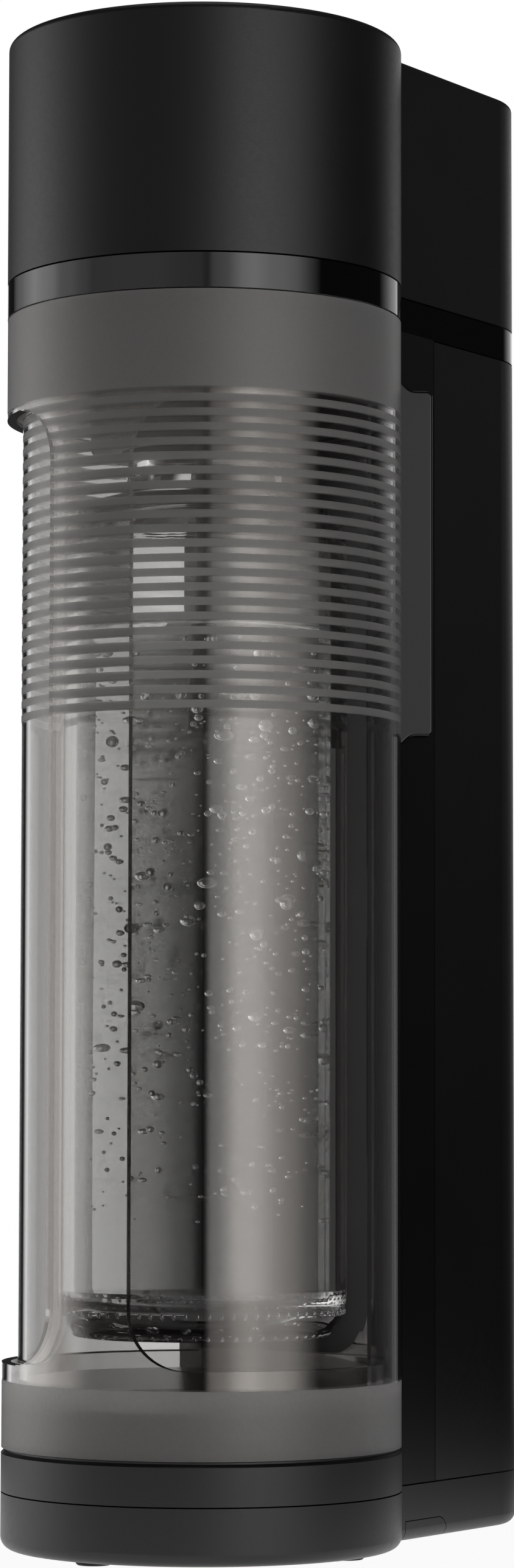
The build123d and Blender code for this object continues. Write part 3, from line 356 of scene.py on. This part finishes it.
heel_ribs("heel_ribs_upper", radius=0.0401, height=0.0677, size=(0.0005, 0.0007, 0.0010), count=77)
heel_ribs("heel_ribs_lower", radius=0.0353, height=0.0615, size=(0.0006, 0.0013, 0.0009), count=58)


# Water: fills the bottle to just under the shoulder, with a raised rim at the glass.
# Clear; a hair of air stays between it and the glass, so the wall shows its thickness.
WATER_R = 0.0362
WATER_LOW = 0.0692
WATER_TOP = 0.2598
WATER_HEEL = 0.0048
RIM_W = 0.0014
RIM_H = 0.0009
LEVEL_REACH = 0.0005
SMOOTH_ANGLE = math.radians(40)


def pick_level(piece, level):
    # Selects the points at one height and what lies between them.
    points = piece.data.vertices
    for point in points:
        point.select = abs(point.co.z - level) < LEVEL_REACH
    for group in (piece.data.edges, piece.data.polygons):
        for item in group:
            item.select = all(points[index].select for index in item.vertices)


bpy.ops.object.select_all(action="DESELECT")
bpy.ops.mesh.primitive_cylinder_add(vertices=128, radius=WATER_R, depth=WATER_TOP - WATER_LOW,
                                    location=(0, AXIS_Y, (WATER_TOP + WATER_LOW) / 2))
water = bpy.context.object
water.name = "water"
bpy.ops.object.transform_apply(location=True, rotation=True, scale=True)
pick_level(water, WATER_LOW)
bpy.ops.object.mode_set(mode="EDIT")
bpy.ops.mesh.select_mode(type="EDGE")
bpy.ops.mesh.bevel(offset=WATER_HEEL, segments=8, profile=0.5)
bpy.ops.object.mode_set(mode="OBJECT")
pick_level(water, WATER_TOP)
bpy.ops.object.mode_set(mode="EDIT")
bpy.ops.mesh.select_mode(type="FACE")
bpy.ops.mesh.inset(thickness=RIM_W)
bpy.ops.transform.translate(value=(0, 0, -RIM_H))
bpy.ops.object.mode_set(mode="OBJECT")
bpy.ops.object.shade_smooth_by_angle(angle=SMOOTH_ANGLE)
still_water = see_through("still_water", dark=(0.97, 0.975, 0.975), light=(0.99, 0.99, 0.99),
                          clouds=9, bending=1.33)[0]
water.data.materials.append(still_water)
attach(water, "bottle")


# Bubbles: gas rising through the water, a few large ones among many small.
# Each is a slightly flattened pocket of gas, so light bends outwards in it.
# They keep clear of the nozzle, the glass and the water's surface.
NOZZLE_ROOM = 0.0048
GLASS_ROOM = 0.0006
SURFACE_ROOM = 0.003
BUBBLE_SQUASH = 0.9
MOSTLY_SMALL = 2.2
MOSTLY_OUTER = 0.3
MOSTLY_HIGH = 0.75
gas_pocket = see_through("gas_pocket", dark=(0.96, 0.96, 0.96), light=(1.0, 1.0, 1.0), clouds=500,
                         bending=0.752, passing=0.8)[0]
chance = random.Random(7)


def bubble_swarm(name, count, smallest, largest, fineness, lowest):
    # One pocket, copied to seeded places in the water.
    bpy.ops.object.select_all(action="DESELECT")
    bpy.ops.mesh.primitive_ico_sphere_add(subdivisions=fineness, radius=1, scale=(1, 1, BUBBLE_SQUASH))
    first = bpy.context.object
    first.name = name
    bpy.ops.object.transform_apply(location=True, rotation=True, scale=True)
    for number in range(count):
        size = smallest + (largest - smallest) * chance.random() ** MOSTLY_SMALL
        outermost = WATER_R - GLASS_ROOM - size
        reach = NOZZLE_ROOM + (outermost - NOZZLE_ROOM) * chance.random() ** MOSTLY_OUTER
        turn = chance.uniform(0, 2 * math.pi)
        highest = WATER_TOP - SURFACE_ROOM - size
        lift = lowest + (highest - lowest) * chance.random() ** MOSTLY_HIGH
        pocket = first if number == 0 else first.copy()
        if number:
            pocket.data = first.data.copy()
            bpy.context.collection.objects.link(pocket)
        pocket.location = (reach * math.cos(turn), AXIS_Y + reach * math.sin(turn), lift)
        pocket.scale = (size, size, size)
        pocket.select_set(True)
    bpy.context.view_layer.objects.active = first
    bpy.ops.object.join()
    bpy.ops.object.transform_apply(location=True, rotation=True, scale=True)
    bpy.ops.object.shade_smooth()
    first.data.materials.append(gas_pocket)
    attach(first, "bottle")


bubble_swarm("fine_bubbles", count=900, smallest=0.00034, largest=0.00105, fineness=2, lowest=0.092)
bubble_swarm("large_bubbles", count=95, smallest=0.0010, largest=0.0019, fineness=3, lowest=0.125)


# Slide parts: glide rings, nozzle holder and nozzle tube.
# Turned from black acetal, slightly waxy, and pressed in.
waxy_black = moulded("waxy_black", dark=(0.010, 0.010, 0.010), light=(0.016, 0.016, 0.016),
                     clouds=(60, 2), rough=(0.35, 0.5), rough_clouds=(200, 2))
dress(waxy_black, "lower_glide_ring", "upper_glide_ring", "nozzle_holder", "nozzle_tube")


# Steel parts: screws, magnets, strikes, lever, pivot, valve pin, spring and nozzle tip.
# Zinc-plated steel with fine drawing marks; the tip is browned.
MARK_STRETCH = (1, 1, 0.05)
METAL_ROUGH_SPREAD = 0.15


def drawn_metal(name, dark, light, rough, marks):
    # Bare metal with marks drawn out along its height.
    finish, tree, shader, place = fresh_finish(name)
    stretch = tree.nodes.new("ShaderNodeMapping")
    stretch.inputs["Scale"].default_value = MARK_STRETCH
    tree.links.new(place, stretch.inputs["Vector"])
    drawn = speckle(tree, stretch.outputs["Vector"], marks, 4)
    two_tone(tree, drawn, dark, light, shader.inputs["Base Color"])
    spread(tree, drawn, rough, rough + METAL_ROUGH_SPREAD, shader.inputs["Roughness"])
    shader.inputs["Metallic"].default_value = 1.0
    return finish


plated_steel = drawn_metal("plated_steel", (0.42, 0.42, 0.43), (0.58, 0.58, 0.59), rough=0.25, marks=900)
browned_steel = drawn_metal("browned_steel", (0.05, 0.05, 0.05), (0.08, 0.08, 0.08), rough=0.35, marks=900)
dress(plated_steel, "base_screws", "head_screws", "cover_magnets", "cover_strikes", "lever_pivot_pin",
      "valve_pin", "button_spring", "press_lever")
dress(browned_steel, "nozzle_tip")


# Return spring: round steel wire coiled in four turns under the button.
# It stands on the button's guide.
SPRING_FOOT = 0.4099
SPRING_R = 0.012
SPRING_WIRE = 0.0006
SPRING_H = 0.0134
SPRING_TURNS = 4
WIRE_SIDES = 10
STEPS_PER_TURN = 32
bpy.ops.object.select_all(action="DESELECT")
bpy.ops.mesh.primitive_circle_add(vertices=WIRE_SIDES, radius=SPRING_WIRE, location=(SPRING_R, 0, 0),
                                  rotation=(math.pi / 2, 0, 0))
spring = bpy.context.object
spring.name = "return_spring"
bpy.ops.object.transform_apply(location=True, rotation=True, scale=True)
bpy.ops.object.modifier_add(type="SCREW")
coil = spring.modifiers[0]
coil.axis = "Z"
coil.angle = 2 * math.pi * SPRING_TURNS
coil.screw_offset = SPRING_H - 2 * SPRING_WIRE
coil.steps = STEPS_PER_TURN * SPRING_TURNS
coil.render_steps = STEPS_PER_TURN * SPRING_TURNS
bpy.ops.object.modifier_apply(modifier=coil.name)
spring.location = (0, AXIS_Y, SPRING_FOOT + SPRING_WIRE)
bpy.ops.object.transform_apply(location=True, rotation=True, scale=True)
bpy.ops.object.mode_set(mode="EDIT")
bpy.ops.mesh.select_all(action="SELECT")
bpy.ops.mesh.fill_holes(sides=0)
bpy.ops.mesh.select_all(action="SELECT")
bpy.ops.mesh.normals_make_consistent(inside=False)
bpy.ops.object.mode_set(mode="OBJECT")
bpy.ops.object.shade_smooth_by_angle(angle=SMOOTH_ANGLE)
spring.data.materials.append(plated_steel)
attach(spring, "frame")
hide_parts("button_spring")
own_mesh(spring)


# Brass parts: valve seat, cylinder valve, relief valve and nuts, and the pipe between them.
# Turned brass, a little dulled, and drawn copper, screwed together.
turned_brass = drawn_metal("turned_brass", (0.50, 0.35, 0.13), (0.66, 0.49, 0.22), rough=0.25, marks=700)
drawn_copper = drawn_metal("drawn_copper", (0.55, 0.27, 0.15), (0.70, 0.38, 0.24), rough=0.2, marks=800)
dress(turned_brass, "valve_seat", "cylinder_valve", "relief_valve", "relief_cap", "pipe_nuts")
dress(drawn_copper, "gas_pipe")


# Gas cylinder: deep-drawn aluminium bottle with a satin coat.
# Stands in the tower behind the rear cover, screwed into the valve seat.
satin_tank = drawn_metal("satin_tank", (0.45, 0.46, 0.47), (0.58, 0.59, 0.60), rough=0.3, marks=300)
dress(satin_tank, "gas_cylinder")


# Floor: a round pale table top under the object; to glossy surfaces it shows two painted pools of light near
# the object and is painted dark further out.
# It stays white to the camera and takes the object's soft shadow.
FLOOR_R = 0.6
FLOOR_Z = -0.0002
FLOOR_GREY = (0.86, 0.86, 0.86, 1)
WHITE_REACH = (0.1, 0.3)
WHITE_SHARE = (0.95, 1.0)
# The pools are painted light on the floor, seen only in reflections; each gives its centre and the reach over
# which it fades.
LEFT_PAINTED_POOL = (-0.04, -0.12, 0)
LEFT_PAINTED_POOL_REACH = (0.14, 0.42)
RIGHT_PAINTED_POOL = (0.30, -0.19, 0)
RIGHT_PAINTED_POOL_REACH = (0.06, 0.18)
bpy.ops.object.select_all(action="DESELECT")
bpy.ops.mesh.primitive_circle_add(vertices=128, radius=FLOOR_R, fill_type="NGON", location=(0, 0, FLOOR_Z))
floor = bpy.context.object
floor.name = "floor"
bpy.ops.object.transform_apply(location=True, rotation=True, scale=True)


def distance(tree, place, centre):
    # How far the place lies from a centre.
    gap = tree.nodes.new("ShaderNodeVectorMath")
    gap.operation = "DISTANCE"
    gap.inputs[1].default_value = centre
    tree.links.new(place, gap.inputs[0])
    return gap.outputs["Value"]


pale_floor, tree, shader, place = fresh_finish("pale_floor")
shader.inputs["Base Color"].default_value = FLOOR_GREY
shader.inputs["Roughness"].default_value = 0.7
shader.inputs["Specular IOR Level"].default_value = 0.0
ray = tree.nodes.new("ShaderNodeLightPath").outputs
straight = reckon(tree, "MAXIMUM", ray["Is Camera Ray"], ray["Is Transmission Ray"])
white = reckon(tree, "MULTIPLY", straight,
               slope(tree, distance(tree, place, (0, 0, 0)), *WHITE_REACH, *WHITE_SHARE, "SMOOTHSTEP"))
# Shares of the two painted pools of light: left near the object, right further to the front right.
left = slope(tree, distance(tree, place, LEFT_PAINTED_POOL), *LEFT_PAINTED_POOL_REACH, 1.0, 0.0, "SMOOTHSTEP")
right = slope(tree, distance(tree, place, RIGHT_PAINTED_POOL), *RIGHT_PAINTED_POOL_REACH, 1.0, 0.0, "SMOOTHSTEP")
painted_pool = reckon(tree, "MULTIPLY", ray["Is Glossy Ray"], reckon(tree, "MAXIMUM", left, right))
# Outside the left pool the floor is painted dark for reflections.
painted_dark_floor = tree.nodes.new("ShaderNodeMixShader")
tree.links.new(reckon(tree, "MULTIPLY", ray["Is Glossy Ray"], reckon(tree, "SUBTRACT", 1.0, left)),
               painted_dark_floor.inputs["Fac"])
tree.links.new(shader.outputs["BSDF"], painted_dark_floor.inputs[1])
glow = tree.nodes.new("ShaderNodeEmission")
glow.inputs["Strength"].default_value = 1.0
blend = tree.nodes.new("ShaderNodeMixShader")
tree.links.new(reckon(tree, "MAXIMUM", white, painted_pool), blend.inputs["Fac"])
tree.links.new(painted_dark_floor.outputs["Shader"], blend.inputs[1])
tree.links.new(glow.outputs["Emission"], blend.inputs[2])
tree.links.new(blend.outputs["Shader"], tree.nodes["Material Output"].inputs["Surface"])
floor.data.materials.append(pale_floor)


# Studio: white behind the object, a tall softbox at each side, the stronger one at the right,
# and black cards beside the white wall that draw dark edges on gloss.
# Each ring gives degrees round the horizon, from +X towards +Y, and the brightness there.
BRIGHTEST = 3.3
DOME = 0.05
SOFTBOX_TOP = (0.20, 0.30)
FRONT_RISE = (0.03, 0.17)
REAR_RISE = (0.09, 0.19)
SOFTBOXES = ((-180, 1.35), (-173, 2.05), (-160, 2.1), (-154, 2.0), (-148, 1.33), (-139, 1.28), (-132, 0.6),
             (-124, 0.08), (-60, 0.03), (-54, 0.03), (-50.5, 0.95), (-42, 1.43), (-34, 2.85), (-27, 3.3),
             (-17, 2.5), (-9, 2.3), (-1, 1.76), (7, 0.76))
MIRRORED = SOFTBOXES + ((15, 0.03), (72, 0.02), (84, 0.05), (92, 0.09), (98, 0.2), (104, 0.6), (110, 1.0),
                        (134, 1.0), (137, 0.02), (155, 0.02), (163, 0.39), (171, 0.69), (180, 1.35))
SEEN_THROUGH = SOFTBOXES + ((15, 0.08), (97, 0.08), (100, 1.0), (129.5, 1.0), (131.5, 0.004), (147, 0.004),
                            (152, 1.0), (165, 1.3), (180, 1.35))
FRONT = ((-180, 0), (-139, 0), (-128, 0.5), (-107, 0.6), (-83, 0.63), (-67, 0.52), (-58, 0.5), (-50, 0),
         (180, 0))
REAR = ((-180, 0), (68, 0), (84, 0.75), (100, 1.0), (112, 0), (180, 0))
scene = bpy.context.scene
studio = bpy.data.worlds.new("studio")
scene.world = studio
studio.use_nodes = True
tree = studio.node_tree
look = axes_of(tree, tree.nodes.new("ShaderNodeTexCoord").outputs["Generated"])
round_share = slope(tree, reckon(tree, "ARCTAN2", look["Y"], look["X"]), -math.pi, math.pi, 0, 1)


def ring_of_light(stops):
    # Brightness round the horizon, as a share of the brightest.
    ramp = tree.nodes.new("ShaderNodeValToRGB")
    marks = ramp.color_ramp.elements
    for number, (degrees, level) in enumerate(stops):
        spot = (degrees + 180) / 360
        if number == 0 or number == len(stops) - 1:
            mark = marks[0 if number == 0 else len(marks) - 1]
            mark.position = spot
        else:
            mark = marks.new(spot)
        mark.color = (level / BRIGHTEST, level / BRIGHTEST, level / BRIGHTEST, 1)
    tree.links.new(round_share, ramp.inputs["Fac"])
    return ramp.outputs["Color"]


def above_level(ring, rise):
    # A ring of light that shows only above a height.
    return reckon(tree, "MULTIPLY", ring, slope(tree, look["Z"], *rise, 0.0, 1.0, "SMOOTHSTEP"))


ray = tree.nodes.new("ShaderNodeLightPath").outputs
mirrored, seen_through, horizon = mix_of(tree, "FLOAT", ray["Is Transmission Ray"])
tree.links.new(ring_of_light(MIRRORED), mirrored)
tree.links.new(ring_of_light(SEEN_THROUGH), seen_through)
extra = reckon(tree, "ADD", above_level(ring_of_light(FRONT), FRONT_RISE),
               above_level(ring_of_light(REAR), REAR_RISE))
sides, dome, surround = mix_of(tree, "FLOAT", slope(tree, look["Z"], *SOFTBOX_TOP, 0.0, 1.0, "SMOOTHSTEP"))
tree.links.new(reckon(tree, "ADD", horizon, extra), sides)
dome.default_value = DOME / BRIGHTEST
unseen, backdrop, light = mix_of(tree, "FLOAT", ray["Is Camera Ray"])
tree.links.new(surround, unseen)
backdrop.default_value = 1 / BRIGHTEST
background = tree.nodes["Background"]
background.inputs["Color"].default_value = (1, 1, 1, 1)
tree.links.new(reckon(tree, "MULTIPLY", light, BRIGHTEST), background.inputs["Strength"])
overhead = bpy.data.lights.new("overhead_panel", "AREA")
overhead.shape = "SQUARE"
overhead.size = 0.9
overhead.energy = 2.0
hanger = bpy.data.objects.new("overhead_panel", overhead)
hanger.location = (0, 0, 1.6)
scene.collection.objects.link(hanger)


# Camera: at the photograph's viewing angle, a little above the base, tilted up.
# Angles are in radians; the azimuth is taken round the bottle's axis from the front.
AZIMUTH = 0.59859
REACH = 1.22583
EYE_Z = 0.12752
HEADING = AZIMUTH - 0.01249
TILT = 0.07273
ROLL = 0.00184
eye = Vector((REACH * math.sin(AZIMUTH), AXIS_Y - REACH * math.cos(AZIMUTH), EYE_Z))
up = Vector((0, 0, 1))
ahead = Vector((-math.sin(HEADING), math.cos(HEADING), 0))
side = Vector((math.cos(HEADING), math.sin(HEADING), 0))
forward = ahead * math.cos(TILT) + up * math.sin(TILT)
upward = -ahead * math.sin(TILT) + up * math.cos(TILT)
right = side * math.cos(ROLL) + upward * math.sin(ROLL)
above = -side * math.sin(ROLL) + upward * math.cos(ROLL)
lens = bpy.data.cameras.new("viewer")
lens.sensor_fit = "VERTICAL"
lens.sensor_height = 36
lens.lens = 98.92
viewer = bpy.data.objects.new("viewer", lens)
scene.collection.objects.link(viewer)
viewer.matrix_world = Matrix.Translation(eye) @ Matrix((right, above, -forward)).transposed().to_4x4()
scene.camera = viewer
scene.view_settings.view_transform = "Standard"
scene.cycles.max_bounces = 32
scene.cycles.transmission_bounces = 32
scene.cycles.glossy_bounces = 8
scene.cycles.transparent_max_bounces = 16
